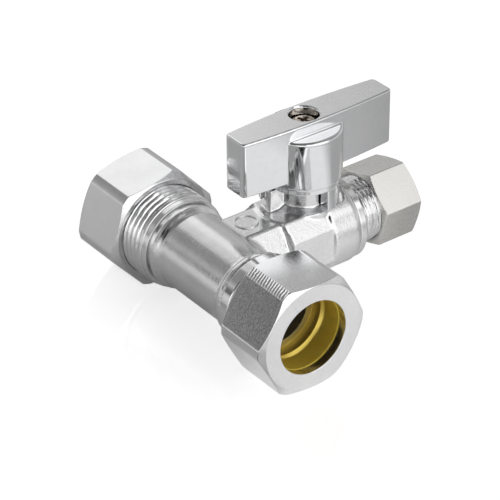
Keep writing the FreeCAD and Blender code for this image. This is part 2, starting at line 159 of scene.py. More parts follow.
# Ferrules: where the outer end is, and length, radius, the radius where the cones end, and the bore's radius
FRONT_FERRULE_Y = 30.22
BACK_FERRULE_Y = 29.34
BRANCH_FERRULE_X = 46.54
LARGE_FERRULE = (4.48, 9.35, 8.35, RUN_SOCKET_R)
SMALL_FERRULE_SIZE = (4.28, 5.75, 5.0, 4.85)

# Handle
HANDLE_TOP_Z = 28.0
HANDLE_BOTTOM_Z = 15.55
HANDLE_SHORT_REACH = 17.8
HANDLE_LONG_REACH = 20.8
HANDLE_END_HALF_WIDTH = 3.05
HANDLE_MID_HALF_WIDTH = 4.1
HANDLE_CORNER_R = 1.0
HUB_R = 8.1
HUB_TOP_Z = 25.35
BAND_R = 7.7
BAND_BOTTOM_Z = 12.9
BAND_TOP_Z = 14.25
SKIRT_R = 7.45
SKIRT_BOTTOM_Z = 8.15
SKIRT_RECESS_R = 5.2
SKIRT_RECESS_TOP_Z = 13.2
LUG_R = 9.3
LUG_NEAR_Y = 3.28
LUG_FAR_Y = 5.48
LUG_BOTTOM_Z = 9.0
STEM_SOCKET_R = 2.8
STEM_SOCKET_HALF = 2.05
STEM_SOCKET_TOP_Z = 23.65
SCREW_WAY_R = 1.75
POCKET_R = 3.1
POCKET_FLOOR_Z = 24.4
SCREW_TOP_Z = 26.5
SCREW_HEAD_R = 2.7
SCREW_HEAD_BOTTOM_Z = 24.9
SCREW_SHANK_R = 1.47
SCREW_END_Z = 18.5
CROSS_HALF_SPAN = 1.5
CROSS_HALF_WIDTH = 0.4
CROSS_DEPTH = 0.9
CROSS_ANGLE = 20
WASHER_R = 2.95
WASHER_HOLE_R = 1.7
WASHER_THICKNESS = 0.5

ALONG_X = Matrix.Rotation(math.radians(90), 4, "Y")
ALONG_FRONT = Matrix.Rotation(math.radians(90), 4, "X")
ALONG_BACK = Matrix.Rotation(math.radians(-90), 4, "X")
AT_STEM = Matrix.Translation((STEM_X * MM, 0, 0))


# Mesh making

def mesh_from(points, faces):
    """A mesh with merged points and outward faces, from points in millimetres."""
    mesh = bpy.data.meshes.new("form")
    mesh.from_pydata([Vector(p) * MM for p in points], [], faces)
    work = bmesh.new()
    work.from_mesh(mesh)
    bmesh.ops.remove_doubles(work, verts=work.verts, dist=1e-7)
    bmesh.ops.recalc_face_normals(work, faces=work.faces)
    work.to_mesh(mesh)
    work.free()
    return mesh


def placed(name, mesh, turn=None):
    """An object at the origin whose place is in its mesh."""
    if turn is not None:
        mesh.transform(turn)
    obj = bpy.data.objects.new(name, mesh)
    bpy.context.scene.collection.objects.link(obj)
    return obj


def soft_corner(before, corner, after, bend):
    """Points that round one corner of an outline, with one more on each side to hold the flat."""
    most = 0.42
    curve_steps = 4
    here = Vector(corner)
    back = Vector(before) - here
    ahead = Vector(after) - here
    bend = min(bend, most * back.length, most * ahead.length)
    hold = bend * 1.15
    start = here + back.normalized() * bend
    end = here + ahead.normalized() * bend
    curve = []
    for k in range(curve_steps + 1):
        t = k / curve_steps
        curve.append(start * (1 - t) ** 2 + here * (2 * t * (1 - t)) + end * t ** 2)
    return [here + back.normalized() * hold] + curve + [here + ahead.normalized() * hold]


def outline(corners):
    """A closed outline of (along, radius) points. Each corner is along and radius, then, where wanted, its
    softness and the spacing of the rows up to the next corner."""
    rounded = []
    corners = [(*corner, 0, 0)[:4] for corner in corners]
    count = len(corners)
    for i, (along, radius, bend, spacing) in enumerate(corners):
        before = corners[i - 1][:2]
        after = corners[(i + 1) % count][:2]
        if bend:
            rounded.append(soft_corner(before, (along, radius), after, bend))
        else:
            rounded.append([Vector((along, radius))])
    points = []
    for i in range(count):
        points += rounded[i]
        spacing = corners[i][3]
        if spacing:
            first = rounded[i][-1]
            last = rounded[(i + 1) % count][0]
            steps = max(1, math.ceil((last - first).length / spacing))
            points += [first.lerp(last, k / steps) for k in range(1, steps)]
    return points


def lathe(corners, steps):
    """A ring or disc turned about Z from a closed outline."""
    rows = outline(corners)
    points = []
    faces = []
    for along, radius in rows:
        for k in range(steps):
            a = 2 * math.pi * k / steps
            points.append((radius * math.cos(a), radius * math.sin(a), along))
    for i in range(len(rows)):
        low = i * steps
        high = ((i + 1) % len(rows)) * steps
        if rows[i][1] == 0 and rows[(i + 1) % len(rows)][1] == 0:
            continue
        for k in range(steps):
            n = (k + 1) % steps
            faces.append((low + k, low + n, high + n, high + k))
    return mesh_from(points, faces)


def solid_lathe(rows, steps):
    """A solid turned about Z through rows of (along, radius), from one end's face to the other's."""
    return lathe([(rows[0][0], 0), *rows, (rows[-1][0], 0)], steps)


def prism(loop, depth):
    """A flat loop of points pushed along the vector depth."""
    count = len(loop)
    low = [Vector(p) for p in loop]
    points = low + [p + Vector(depth) for p in low]
    faces = [tuple(range(count)), tuple(range(count, 2 * count))]
    for k in range(count):
        n = (k + 1) % count
        faces.append((k, n, count + n, count + k))
    return mesh_from(points, faces)


def block(x0, x1, y0, y1, z0, z1):
    """A rectangular block between those planes."""
    return prism([(x0, y0, z0), (x1, y0, z0), (x1, y1, z0), (x0, y1, z0)], (0, 0, z1 - z0))


def stacked(loops):
    """A closed form through loops of equal count, one above the other."""
    count = len(loops[0])
    points = [p for loop in loops for p in loop]
    last = (len(loops) - 1) * count
    faces = [tuple(range(count)), tuple(range(last, last + count))]
    for i in range(len(loops) - 1):
        for k in range(count):
            n = (k + 1) % count
            faces.append((i * count + k, i * count + n, (i + 1) * count + n, (i + 1) * count + k))
    return mesh_from(points, faces)


def settle(obj):
    """Turns what the object's modifiers make into its plain mesh."""
    graph = bpy.context.evaluated_depsgraph_get()
    graph.update()
    mesh = bpy.data.meshes.new_from_object(obj.evaluated_get(graph), depsgraph=graph)
    obj.modifiers.clear()
    old = obj.data
    obj.data = mesh
    bpy.data.meshes.remove(old)


def taken(obj):
    """The mesh of a helper piece, which is dropped."""
    mesh = obj.data.copy()
    bpy.data.objects.remove(obj)
    return mesh


def combine(obj, other, operation):
    """Joins, cuts or keeps the overlap of two closed forms, and drops the second."""
    change = obj.modifiers.new("combine", "BOOLEAN")
    change.object = other
    change.operation = operation
    change.solver = "MANIFOLD"
    settle(obj)
    bpy.data.objects.remove(other)


def cut(obj, mesh):
    """Takes the closed form out of the piece."""
    combine(obj, placed("cutter", mesh), "DIFFERENCE")


def weld(obj):
    """Merges the points that a cut leaves on top of each other, so that no face without area stays."""
    work = bmesh.new()
    work.from_mesh(obj.data)
    bmesh.ops.remove_doubles(work, verts=work.verts, dist=WELD * MM)
    work.to_mesh(obj.data)
    work.free()


def cast_skin(name, forms, grain, passes):
    """One continuous skin over overlapping closed forms, with the soft edges of a casting."""
    work = bmesh.new()
    for mesh in forms:
        work.from_mesh(mesh)
    joined = bpy.data.meshes.new(name)
    work.to_mesh(joined)
    work.free()
    obj = placed(name, joined)
    skin = obj.modifiers.new("skin", "REMESH")
    skin.mode = "VOXEL"
    skin.voxel_size = grain * MM
    ease = obj.modifiers.new("ease", "SMOOTH")
    ease.factor = 0.5
    ease.iterations = passes
    settle(obj)
    return obj


def finish_shading(obj):
    """Smooth over the curves and sharp at the edges."""
    obj.data.shade_smooth()
    obj.data.set_sharp_from_angle(angle=math.radians(SHARP_ANGLE))


def dress(obj, body, slot, nodes, *materials):
    """Puts a finished piece in place of its CAD nodes."""
    if materials:
        obj.data.materials.clear()
        for mat in materials:
            obj.data.materials.append(mat)
    if nodes:
        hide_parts(*nodes)
    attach(obj, body)


def line_bore(obj, reach, beyond=0, deep=0):
    """Gives a bore about Y its own materials. The second goes to faces nearer its axis than reach that look
    inwards or stand beyond the given length, the third to faces nearer than deep that don't look out."""
    for face in obj.data.polygons:
        x, y, z = face.center
        radius = math.hypot(x, z)
        outwards = x * face.normal.x + z * face.normal.z
        face.material_index = 0
        if radius < reach * MM and (outwards < -LOOKS_IN * radius or abs(y) > beyond * MM):
            face.material_index = 1
        if radius < deep * MM and outwards < LOOKS_OUT * radius:
            face.material_index = 2


# Node helpers, for geometry and for materials

def calc(tree, operation, *values):
    """One step of arithmetic on numbers and other nodes' results."""
    node = tree.nodes.new("ShaderNodeMath")
    node.operation = operation
    for slot, value in zip(node.inputs, values):
        if isinstance(value, (int, float)):
            slot.default_value = value
        else:
            tree.links.new(value, slot)
    return node.outputs[0]


def form_tree(name, sizes):
    """A geometry tree with a geometry, named sizes and a material as its inputs."""
    tree = bpy.data.node_groups.new(name, "GeometryNodeTree")
    tree.interface.new_socket("Geometry", in_out="INPUT", socket_type="NodeSocketGeometry")
    for label in sizes:
        tree.interface.new_socket(label, in_out="INPUT", socket_type="NodeSocketFloat")
    tree.interface.new_socket("Material", in_out="INPUT", socket_type="NodeSocketMaterial")
    tree.interface.new_socket("Geometry", in_out="OUTPUT", socket_type="NodeSocketGeometry")
    inlet = tree.nodes.new("NodeGroupInput")
    place = tree.nodes.new("GeometryNodeInputPosition")
    parts = tree.nodes.new("ShaderNodeSeparateXYZ")
    tree.links.new(place.outputs[0], parts.inputs[0])
    x, y, z = parts.outputs
    squares = [calc(tree, "MULTIPLY", side, side) for side in (x, y)]
    radius = calc(tree, "SQRT", calc(tree, "ADD", *squares))
    angle = calc(tree, "ARCTAN2", y, x)
    return tree, inlet.outputs, x, y, z, radius, angle


def clamped(tree, value):
    """The value, kept between 0 and 1."""
    return calc(tree, "MINIMUM", calc(tree, "MAXIMUM", value, 0.0), 1.0)


def end_form_tree(tree, inputs, x, y, z, radius, new_radius):
    """Moves each point to its new radius, then realizes and paints the result."""
    share = calc(tree, "DIVIDE", new_radius, radius)
    point = tree.nodes.new("ShaderNodeCombineXYZ")
    tree.links.new(calc(tree, "MULTIPLY", x, share), point.inputs[0])
    tree.links.new(calc(tree, "MULTIPLY", y, share), point.inputs[1])
    tree.links.new(z, point.inputs[2])
    move = tree.nodes.new("GeometryNodeSetPosition")
    tree.links.new(inputs["Geometry"], move.inputs["Geometry"])
    tree.links.new(point.outputs[0], move.inputs["Position"])
    real = tree.nodes.new("GeometryNodeRealizeInstances")
    tree.links.new(move.outputs[0], real.inputs[0])
    paint = tree.nodes.new("GeometryNodeSetMaterial")
    tree.links.new(real.outputs[0], paint.inputs["Geometry"])
    tree.links.new(inputs["Material"], paint.inputs["Material"])
    outlet = tree.nodes.new("NodeGroupOutput")
    tree.links.new(paint.outputs[0], outlet.inputs[0])


def thread_tree():
    """Cuts a right-handed thread into the rows of a lathed form that lie at the thread's radius."""
    crest = 0.18
    flank_slope = 1.5
    root = 0.96
    root_softness = 0.12
    lead_in_pitches = 0.6
    run_out_pitches = 0.3
    reach = 0.06
    sizes = ["Pitch", "Depth", "Radius", "First", "Last"]
    tree, inputs, x, y, z, radius, angle = form_tree("cut_thread", sizes)
    pitches = calc(tree, "DIVIDE", z, inputs["Pitch"])
    turns = calc(tree, "SUBTRACT", pitches, calc(tree, "DIVIDE", angle, 2 * math.pi))
    phase = calc(tree, "FRACT", turns)
    ridge = calc(tree, "ABSOLUTE", calc(tree, "SUBTRACT", calc(tree, "MULTIPLY", phase, 2.0), 1.0))
    flank = clamped(tree, calc(tree, "MULTIPLY", calc(tree, "SUBTRACT", ridge, crest), flank_slope))
    groove = calc(tree, "SMOOTH_MIN", flank, root, root_softness)
    lead_in = calc(tree, "DIVIDE", calc(tree, "SUBTRACT", z, inputs["First"]),
                   calc(tree, "MULTIPLY", inputs["Pitch"], lead_in_pitches))
    run_out = calc(tree, "DIVIDE", calc(tree, "SUBTRACT", inputs["Last"], z),
                   calc(tree, "MULTIPLY", inputs["Pitch"], run_out_pitches))
    fade = clamped(tree, calc(tree, "MINIMUM", lead_in, run_out))
    away = calc(tree, "ABSOLUTE", calc(tree, "SUBTRACT", radius, inputs["Radius"]))
    near = calc(tree, "LESS_THAN", away, reach * MM)
    depth = calc(tree, "MULTIPLY", inputs["Depth"], groove)
    depth = calc(tree, "MULTIPLY", depth, calc(tree, "MULTIPLY", fade, near))
    end_form_tree(tree, inputs, x, y, z, radius, calc(tree, "SUBTRACT", radius, depth))
    return tree


def hexagon_tree():
    """Mills six flats on a lathed form, with a soft line where each flat meets the turned corner."""
    sizes = ["Across flats", "Corner angle", "Softness"]
    tree, inputs, x, y, z, radius, angle = form_tree("mill_flats", sizes)
    sixth = math.pi / 3
    turned = calc(tree, "SUBTRACT", angle, inputs["Corner angle"])
    within = calc(tree, "SUBTRACT", calc(tree, "FLOORED_MODULO", turned, sixth), sixth / 2)
    half_flats = calc(tree, "MULTIPLY", inputs["Across flats"], 0.5)
    flat = calc(tree, "DIVIDE", half_flats, calc(tree, "COSINE", within))
    new_radius = calc(tree, "SMOOTH_MIN", radius, flat, inputs["Softness"])
    end_form_tree(tree, inputs, x, y, z, radius, new_radius)
    return tree


THREAD_TREE = thread_tree()
HEXAGON_TREE = hexagon_tree()


def shape_with(obj, tree, sizes, material):
    """Runs one of the trees on the piece and keeps the plain mesh."""
    step = obj.modifiers.new(tree.name, "NODES")
    step.node_group = tree
    for item in tree.interface.items_tree:
        if item.in_out == "INPUT" and item.name in sizes:
            step[item.identifier] = float(sizes[item.name])
        if item.in_out == "INPUT" and item.name == "Material":
            step[item.identifier] = material
    settle(obj)


# Materials

def base_material(name):
    """A material with its tree, its shader and the place on the piece, from which every pattern is read."""
    mat = bpy.data.materials.new(name)
    mat.use_nodes = True
    tree = mat.node_tree
    shader = tree.nodes["Principled BSDF"]
    place = tree.nodes.new("ShaderNodeTexCoord")
    return mat, tree, shader, place.outputs["Object"]


def stretched(tree, where, scale):
    """The same place, scaled along each axis: less than 1 draws a pattern out."""
    mapping = tree.nodes.new("ShaderNodeMapping")
    mapping.inputs["Scale"].default_value = scale
    tree.links.new(where, mapping.inputs["Vector"])
    return mapping.outputs[0]


def noise(tree, where, size, detail=3.0):
    """Noise from 0 to 1 whose largest spots are about that size in millimetres."""
    node = tree.nodes.new("ShaderNodeTexNoise")
    node.inputs["Scale"].default_value = 1000 / size
    node.inputs["Detail"].default_value = detail
    node.inputs["Roughness"].default_value = 0.55
    tree.links.new(where, node.inputs["Vector"])
    return node.outputs[0]


def spread(tree, value, low, high, start=0.3, end=0.7):
    """Stretches the values between start and end to run from low to high, and no further."""
    node = tree.nodes.new("ShaderNodeMapRange")
    node.inputs["From Min"].default_value = start
    node.inputs["From Max"].default_value = end
    node.inputs["To Min"].default_value = low
    node.inputs["To Max"].default_value = high
    tree.links.new(value, node.inputs["Value"])
    return node.outputs[0]


def tint(tree, value, dark, light):
    """A colour between two, by a value from 0 to 1."""
    node = tree.nodes.new("ShaderNodeMix")
    node.data_type = "RGBA"
    node.inputs["A"].default_value = (*dark, 1.0)
    node.inputs["B"].default_value = (*light, 1.0)
    tree.links.new(value, node.inputs["Factor"])
    return node.outputs["Result"]


def relief(tree, height, depth, under=None):
    """A bump of that depth in millimetres, over another bump if one is given."""
    node = tree.nodes.new("ShaderNodeBump")
    node.inputs["Strength"].default_value = 1.0
    node.inputs["Distance"].default_value = depth * MM
    tree.links.new(height, node.inputs["Height"])
    if under is not None:
        tree.links.new(under, node.inputs["Normal"])
    return node.outputs[0]


def corner_marks(tree, where, angle, half_width, spacing, under):
    """Fine cross marks that milling left on one corner of a nut about Y, at that angle from X towards Z."""
    fade = 1
    wander_size = 1.2
    degrees_a_mark = 12
    depth = 0.03
    parts = tree.nodes.new("ShaderNodeSeparateXYZ")
    tree.links.new(where, parts.inputs[0])
    around = calc(tree, "DEGREES", calc(tree, "ARCTAN2", parts.outputs[2], parts.outputs[0]))
    off = calc(tree, "ABSOLUTE", calc(tree, "SUBTRACT", around, angle))
    mask = spread(tree, off, 1, 0, half_width, half_width + fade)
    wander = noise(tree, stretched(tree, where, (1, 0.4, 1)), wander_size, 2.0)
    turns = calc(tree, "DIVIDE", parts.outputs[1], spacing * MM)
    slant = calc(tree, "DIVIDE", around, degrees_a_mark)
    phase = calc(tree, "ADD", calc(tree, "ADD", turns, slant), wander)
    ribs = calc(tree, "SINE", calc(tree, "MULTIPLY", phase, 2 * math.pi))
    return relief(tree, calc(tree, "MULTIPLY", ribs, mask), depth, under)


def plate(name, dark, light, shine, grain_size, grain_depth, wave_size=0, wave_depth=0, stretch=(1, 1, 1),
          marks=None):
    """Chrome plate: a fine grain over a slow waviness, with shine varying between two roughnesses."""
    mat, tree, shader, where = base_material(name)
    shader.inputs["Metallic"].default_value = 1.0
    along = stretched(tree, where, stretch)
    grain = noise(tree, along, grain_size)
    broad = noise(tree, where, 6.0, 2.0)
    tone = calc(tree, "ADD", spread(tree, broad, 0, 0.4), spread(tree, grain, 0, 0.6, 0.35, 0.65))
    tree.links.new(tint(tree, tone, dark, light), shader.inputs["Base Color"])
    tree.links.new(spread(tree, grain, *shine), shader.inputs["Roughness"])
    wave = None
    if wave_depth:
        wave = relief(tree, noise(tree, where, wave_size, 1.0), wave_depth)
    surface = relief(tree, grain, grain_depth, wave)
    if marks:
        surface = corner_marks(tree, where, *marks, surface)
    tree.links.new(surface, shader.inputs["Normal"])
    return mat


def turned_metal(name, dark, light, shine, ring_width, ring_depth, axis):
    """A lathe-turned surface: fine rings that run round the axis."""
    mat, tree, shader, where = base_material(name)
    shader.inputs["Metallic"].default_value = 1.0
    parts = tree.nodes.new("ShaderNodeSeparateXYZ")
    tree.links.new(where, parts.inputs[0])
    along = parts.outputs["XYZ".index(axis)]
    across = [parts.outputs[k] for k in range(3) if k != "XYZ".index(axis)]
    squares = [calc(tree, "MULTIPLY", c, c) for c in across]
    radius = calc(tree, "SQRT", calc(tree, "ADD", *squares))
    point = tree.nodes.new("ShaderNodeCombineXYZ")
    tree.links.new(along, point.inputs[0])
    tree.links.new(radius, point.inputs[1])
    rings = noise(tree, point.outputs[0], ring_width, 2.0)
    soil = noise(tree, where, 3.0)
    tree.links.new(tint(tree, spread(tree, soil, 0, 1), dark, light), shader.inputs["Base Color"])
    tree.links.new(spread(tree, rings, *shine), shader.inputs["Roughness"])
    tree.links.new(relief(tree, rings, ring_depth), shader.inputs["Normal"])
    return mat


def moulded(name, dark, light, shine, grain_size, grain_depth):
    """Rubber or plastic with a fine moulded grain."""
    mat, tree, shader, where = base_material(name)
    grain = noise(tree, where, grain_size)
    tree.links.new(tint(tree, spread(tree, grain, 0, 1), dark, light), shader.inputs["Base Color"])
    tree.links.new(spread(tree, grain, *shine), shader.inputs["Roughness"])
    tree.links.new(relief(tree, grain, grain_depth), shader.inputs["Normal"])
    return mat


# Each has its darkest and lightest colour and its range of roughness, then the size and depth of its grain
CAST = plate("satin_cast_chrome", (0.72, 0.72, 0.725), (0.87, 0.87, 0.87), (0.14, 0.24), 0.34, 0.030,
             wave_size=3.0, wave_depth=0.02)
TURNED_RUN = turned_metal("turned_run_chrome", (0.76, 0.76, 0.765), (0.84, 0.84, 0.84), (0.08, 0.16),
                          0.12, 0.0012, "Y")
TURNED_BRANCH = turned_metal("turned_branch_chrome", (0.78, 0.78, 0.785), (0.86, 0.86, 0.86), (0.07, 0.14),
                             0.12, 0.001, "X")
NUT_PLATE = ((0.76, 0.76, 0.77), (0.88, 0.88, 0.88), (0.12, 0.20), 0.30, 0.009)
FRONT_NUT = plate("front_nut_chrome", *NUT_PLATE, marks=(117.5, 4.5, 0.75))
BACK_NUT = plate("back_nut_chrome", *NUT_PLATE)
SATIN_NUT = plate("satin_nut_nickel", (0.76, 0.75, 0.72), (0.84, 0.83, 0.80), (0.20, 0.30), 0.16, 0.0007,
                  stretch=(0.1, 1, 1))
HANDLE_TOP = plate("satin_handle_top", (0.84, 0.84, 0.85), (0.93, 0.93, 0.93), (0.20, 0.32), 0.32, 0.006)
POLISHED = plate("polished_handle_chrome", (0.82, 0.83, 0.84), (0.87, 0.87, 0.88), (0.05, 0.09), 1.2, 0.0006,
                 wave_size=9.0, wave_depth=0.006)
BORE = turned_metal("bored_brass", (0.84, 0.63, 0.13), (0.93, 0.72, 0.18), (0.34, 0.46), 0.15, 0.002, "Y")
# Darker grey-brown than the bore's brass: painted shade for the waterway deep inside the run
WATERWAY_PAINTED_SHADE = turned_metal("waterway_brass_painted_shade", (0.33, 0.30, 0.22), (0.44, 0.40, 0.29), (0.40, 0.52),
                        0.15, 0.002, "Y")
FERRULE = turned_metal("ferrule_brass", (0.97, 0.78, 0.14), (0.99, 0.85, 0.20), (0.56, 0.66),
                       0.18, 0.002, "Y")
SMALL_FERRULE = turned_metal("small_ferrule_brass", (0.72, 0.50, 0.06), (0.86, 0.62, 0.10), (0.16, 0.26),
                             0.18, 0.002, "X")
STEM_BRASS = turned_metal("stem_brass", (0.62, 0.44, 0.14), (0.74, 0.55, 0.20), (0.20, 0.32),
                          0.15, 0.002, "Z")
BALL = plate("ball_chrome", (0.80, 0.80, 0.80), (0.85, 0.85, 0.85), (0.05, 0.09), 0.8, 0.0004)
NICKEL = plate("screw_nickel", (0.46, 0.40, 0.34), (0.74, 0.68, 0.60), (0.18, 0.30), 0.4, 0.004)
SEAT = moulded("seat_plastic", (0.88, 0.88, 0.86), (0.93, 0.93, 0.92), (0.35, 0.5), 0.5, 0.002)
RUBBER = moulded("black_rubber", (0.015, 0.015, 0.015), (0.04, 0.04, 0.04), (0.45, 0.65), 0.3, 0.004)


# The casting

def neck_form():
    """The six-sided neck between the run and the ball housing."""
    corners = [NECK_SIDE, NECK_SHOULDER, NECK_TOP]
    upper = corners + [(-y, z) for y, z in reversed(corners)]
    lower = [(-y, -z) for y, z in corners[1:]] + [(y, -z) for y, z in reversed(corners[1:])]
    return prism([(0, y, z) for y, z in upper + lower], (NECK_LENGTH, 0, 0))


def chamber_form():
    """The faceted ball housing, rounded in plan towards the run."""
    corners = [CHAMBER_SIDE, CHAMBER_TOP]
    section = corners + [(-y, z) for y, z in reversed(corners)]
    section += [(-y, -z) for y, z in corners] + [(y, -z) for y, z in reversed(corners)]
    bar = placed("chamber", prism([(0, y, z) for y, z in section], (STEM_X + 1.5, 0, 0)))
    half = CHAMBER_NOSE_HALF
    low = -9
    side = 9.6
    nose = []
    sweep = 16
    for k in range(sweep + 1):
        y = half - 2 * half * k / sweep
        nose.append((CHAMBER_NOSE_X + CHAMBER_NOSE_BOW * (y / half) ** 2, y, low))
    plan = nose + [(CHAMBER_CHEEK_X, -side, low), (STEM_X + 2, -side, low), (STEM_X + 2, side, low),
                   (CHAMBER_CHEEK_X, side, low)]
    combine(bar, placed("plan", prism(plan, (0, 0, -2 * low))), "INTERSECT")
    return taken(bar)


def collar_form():
    """The round collar, cut away over its top where the handle's skirt turns."""
    rows = [(COLLAR_START_X, COLLAR_R - 0.9), (COLLAR_START_X + 0.4, COLLAR_R), (COLLAR_END_X - 1, COLLAR_R),
            (COLLAR_END_X, COLLAR_R - 0.3)]
    mesh = solid_lathe(rows, FORM_STEPS)
    mesh.transform(ALONG_X)
    ring = placed("collar", mesh)
    clearance = solid_lathe([(COLLAR_CUT_Z, COLLAR_CUT_R), (TOWER_TOP_Z, COLLAR_CUT_R)], FORM_STEPS)
    clearance.transform(AT_STEM)
    cut(ring, clearance)
    return taken(ring)


def tower_form():
    """The stem's tower with its flared foot."""
    rows = [(0, TOWER_FOOT_R), (TOWER_FOOT_Z, TOWER_FOOT_R), (TOWER_FOOT_Z + 0.65, 5.25),
            (TOWER_FOOT_Z + 0.95, TOWER_R), (TOWER_TOP_Z, TOWER_R)]
    mesh = solid_lathe(rows, BORE_STEPS)
    mesh.transform(AT_STEM)
    return mesh


def stop_form():
    """The upright block that ends the handle's quarter turn, round on the skirt's side."""
    near_y = 0.1
    steps = 5
    inner_x = STEM_X - STOP_INNER_R
    loop = [(inner_x, near_y, STOP_BOTTOM_Z), (inner_x, STOP_SIDE_Y, STOP_BOTTOM_Z)]
    for k in range(steps + 1):
        y = STOP_SIDE_Y - (STOP_SIDE_Y - near_y) * k / steps
        loop.append((STEM_X - math.sqrt(STOP_R ** 2 - y ** 2), y, STOP_BOTTOM_Z))
    return prism(loop, (0, 0, STOP_HEIGHT))


def barrel_form():
    """The run's barrel, flared at each end to the lip behind the groove."""
    front_lip = FRONT_FLARE_Y + RUN_FLARE_LENGTH
    back_lip = BACK_FLARE_Y + RUN_FLARE_LENGTH
    front_end = front_lip + RUN_LIP_WIDTH
    back_end = back_lip + RUN_LIP_WIDTH
    return solid_lathe([(-front_end, RUN_LIP_R), (-front_lip, RUN_LIP_R), (-FRONT_FLARE_Y, RUN_R),
                        (BACK_FLARE_Y, RUN_R), (back_lip, RUN_LIP_R), (back_end, RUN_LIP_R)], FORM_STEPS)


def bore_casting(casting):
    """The run's waterway, the branch's with the rooms for ball and adapter, and the stem's way."""
    past = 16
    run_way = solid_lathe([(-past, RUN_BORE_R), (past, RUN_BORE_R)], FORM_STEPS)
    run_way.transform(ALONG_BACK)
    cut(casting, run_way)
    branch_way = solid_lathe([
        (0, WATERWAY_R), (CHAMBER_BORE_START_X, WATERWAY_R), (CHAMBER_BORE_START_X, CHAMBER_BORE_R),
        (COLLAR_BORE_START_X, CHAMBER_BORE_R), (COLLAR_BORE_START_X, COLLAR_BORE_R),
        (SEAL_ROOM_START_X, COLLAR_BORE_R), (SEAL_ROOM_START_X, SEAL_ROOM_R), (33, SEAL_ROOM_R),
    ], BORE_STEPS)
    branch_way.transform(ALONG_X)
    cut(casting, branch_way)
    stem_way = solid_lathe([(2, STEM_SHOULDER_R), (STEM_SHOULDER_Z, STEM_SHOULDER_R),
                            (STEM_SHOULDER_Z, STEM_BORE_R), (14, STEM_BORE_R)], SMALL_STEPS)
    stem_way.transform(AT_STEM)
    cut(casting, stem_way)


def make_casting():
    """The run's middle, the neck, the ball housing, the collar, the tower and its stop, as one casting."""
    barrel = barrel_form()
    barrel.transform(ALONG_BACK)
    forms = [barrel, neck_form(), chamber_form(), collar_form(), tower_form(), stop_form()]
    casting = cast_skin("valve_casting", forms, CASTING_GRAIN, 3)
    bore_casting(casting)
    weld(casting)
    finish_shading(casting)
    dress(casting, "valve_body", "cast_chrome", ["body"], CAST, WATERWAY_PAINTED_SHADE)
    # The run's waterway inside the casting takes the darker grey-brown colour: painted shade deep in the
    # bore
    line_bore(casting, RUN_BORE_R + 0.05, RUN_END_Y)


def make_run_end(name, flare_y, shoulder_width, turn):
    """One turned end of the run: groove, shoulder, thread and the tube's socket."""
    row = LARGE_PITCH / THREAD_ROWS
    groove = flare_y + RUN_FLARE_LENGTH + RUN_LIP_WIDTH
    shoulder = groove + RUN_GROOVE_WIDTH
    thread = shoulder + shoulder_width
    inside = groove - 0.5
    bore = RUN_BORE_R + 0.02
    corners = [
        (inside, bore), (inside, RUN_GROOVE_R), (shoulder, RUN_GROOVE_R, 0.1),
        (shoulder, RUN_SHOULDER_R, 0.2), (thread, RUN_SHOULDER_R, 0.2),
        (thread + 0.1, RUN_THREAD_R, 0, row), (RUN_END_Y - 0.5, RUN_THREAD_R, 0, 0.1),
        (RUN_END_Y, RUN_SEAT_R + 0.2), (RUN_END_Y, RUN_SEAT_R, 0, 0.3),
        (RUN_SEAT_BOTTOM_Y, RUN_SOCKET_R, 0.05, 0.5),
        (RUN_SOCKET_Y, RUN_SOCKET_R, 0.05), (RUN_SOCKET_Y, bore, 0.1, 2.0),
    ]
    end = placed(name, lathe(corners, FINE_STEPS))
    sizes = {"Pitch": LARGE_PITCH * MM, "Depth": LARGE_THREAD_DEPTH * MM, "Radius": RUN_THREAD_R * MM,
             "First": thread * MM, "Last": RUN_END_Y * MM}
    shape_with(end, THREAD_TREE, sizes, TURNED_RUN)
    end.data.transform(turn)
    finish_shading(end)
    dress(end, "valve_body", "cast_chrome", ["body"], TURNED_RUN, BORE, WATERWAY_PAINTED_SHADE)
    # The socket's end step and the waterway beyond it take the darker grey-brown colour: painted shade deep
    # in the bore
    line_bore(end, RUN_SEAT_R + 0.1, RUN_END_Y - 0.05, RUN_SOCKET_R - 0.1)


def make_cast_ring():
    """A plain raised ring on the neck's top plate."""
    foot = 6.9
    crest = 7.5
    corners = [(foot, 2.2), (crest, 2.28, 0.08), (crest, 2.62, 0.08), (foot, 2.7)]
    place = Matrix.Translation((CAST_RING_X * MM, CAST_RING_Y * MM, 0))
    ring = placed("cast_ring", lathe(corners, SMALL_STEPS), place)
    finish_shading(ring)
    dress(ring, "valve_body", "cast_chrome", [], CAST)


